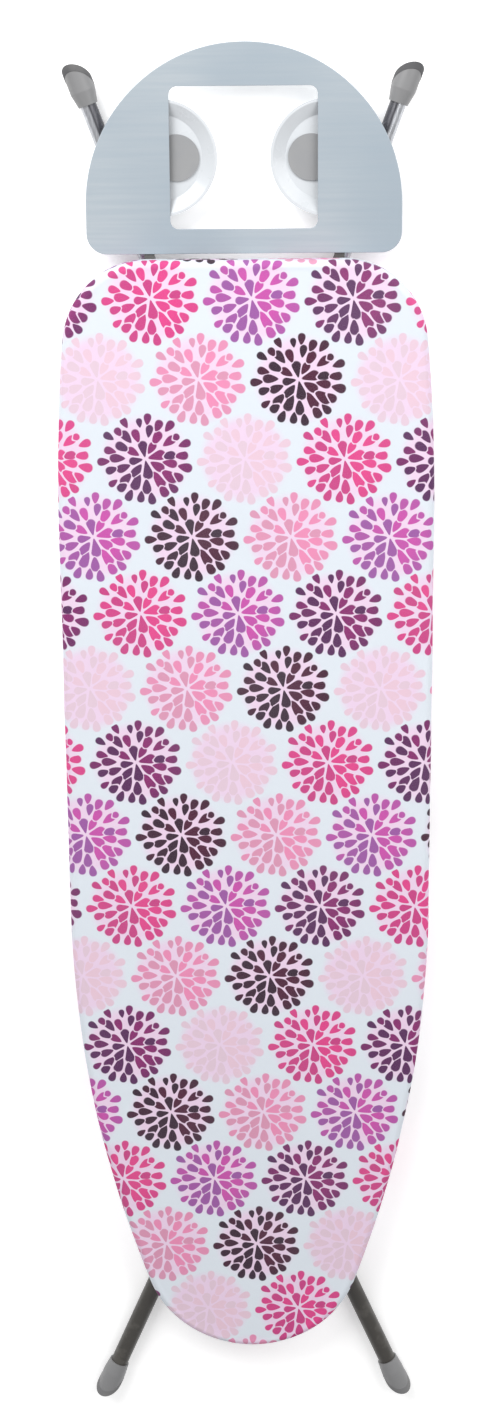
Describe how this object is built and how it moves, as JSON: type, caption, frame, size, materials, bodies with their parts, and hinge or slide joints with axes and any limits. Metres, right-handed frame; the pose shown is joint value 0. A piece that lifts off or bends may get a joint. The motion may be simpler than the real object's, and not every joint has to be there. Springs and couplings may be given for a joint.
{
  "type": "ironing board",
  "caption": "Folding ironing board with a padded flower-print cover, crossed tube legs and a fixed iron rest, folded flat.",
  "frame": {"origin": "middle of the bounding box, on the surface that the feet lie on", "axes": "+Z out of the working surface, +Y from the nose to the iron rest, X across the board"},
  "size_m": [0.38, 1.488, 0.059],
  "materials": {
    "cover_cloth": "printed cotton, matt",
    "pad_foam": "felted foam",
    "panel_steel": "powder coat",
    "frame_steel": "satin dark paint",
    "rest_steel": "satin pale blue-grey paint",
    "leg_chrome": "polished",
    "leg_paint": "satin dark grey paint",
    "cap_plastic": "moulded, fine grain",
    "sole_rubber": "matt",
    "dish_plastic": "moulded",
    "dish_pad": "matt",
    "pin_steel": "bright zinc",
    "bush_plastic": "moulded nylon",
    "grip_plastic": "moulded grip"
  },
  "bodies": {
    "board": {"top_panel": "panel_steel", "rim_frame": "panel_steel", "pad": "pad_foam", "cover": "cover_cloth", "nose_channel": "panel_steel", "middle_channel": "panel_steel", "rest_channel": "panel_steel", "rest_arm_left": "frame_steel", "rest_arm_right": "frame_steel", "arm_rivets": "pin_steel", "iron_rest": "rest_steel", "rest_dish_left": "dish_plastic", "rest_dish_right": "dish_plastic", "rest_pad_left": "dish_pad", "rest_pad_right": "dish_pad", "pivot_rod": "pin_steel", "pivot_rod_caps": "bush_plastic", "pivot_spacers": "bush_plastic", "rail_left": "frame_steel", "rail_right": "frame_steel", "pivot_bracket_left": "frame_steel", "pivot_bracket_right": "frame_steel"},
    "leg_a": {"leg_a_tie": "leg_chrome", "cross_pin": "pin_steel", "cross_washers": "bush_plastic", "cross_pin_caps": "pin_steel", "leg_a_tube_left": "leg_chrome", "leg_a_tube_right": "leg_chrome", "leg_a_foot_left": "cap_plastic", "leg_a_foot_right": "cap_plastic", "leg_a_sole_left": "sole_rubber", "leg_a_sole_right": "sole_rubber", "leg_a_plug_left": "bush_plastic", "leg_a_plug_right": "bush_plastic", "leg_a_lug_left": "leg_chrome", "leg_a_lug_right": "leg_chrome"},
    "leg_b": {"leg_b_tie": "leg_paint", "slide_rod": "pin_steel", "slide_sleeve_left": "bush_plastic", "slide_sleeve_right": "bush_plastic", "slide_washers": "bush_plastic", "slide_rod_caps": "bush_plastic", "lever_spring": "pin_steel", "leg_b_tube_left": "leg_paint", "leg_b_tube_right": "leg_paint", "leg_b_foot_left": "cap_plastic", "leg_b_foot_right": "cap_plastic", "leg_b_sole_left": "sole_rubber", "leg_b_sole_right": "sole_rubber", "leg_b_plug_left": "bush_plastic", "leg_b_plug_right": "bush_plastic", "leg_b_lug_left": "leg_paint", "leg_b_lug_right": "leg_paint"},
    "release_lever": {"release_lever": "frame_steel", "lever_grip": "grip_plastic"}
  },
  "joints": [
    {"name": "leg_a_fold", "type": "hinge", "parent": "board", "child": "leg_a", "pos_m": [0, -0.37505, 0.028], "axis": [-1, 0, 0], "range_deg": [0, 50]},
    {"name": "leg_b_fold", "type": "hinge", "parent": "leg_a", "child": "leg_b", "pos_m": [0, -0.01005, 0.013], "axis": [-1, 0, 0], "range_deg": [-100, 0]},
    {"name": "lever_turn", "type": "hinge", "parent": "leg_b", "child": "release_lever", "pos_m": [0, 0.35495, 0.028], "axis": [1, 0, 0], "range_deg": [0, 20], "stiffness_Nm_per_rad": 0.15, "springref_deg": -20.05}
  ],
  "couplings": [
    {"joint": "leg_b_fold", "follows": "leg_a_fold", "ratio": -2}
  ]
}
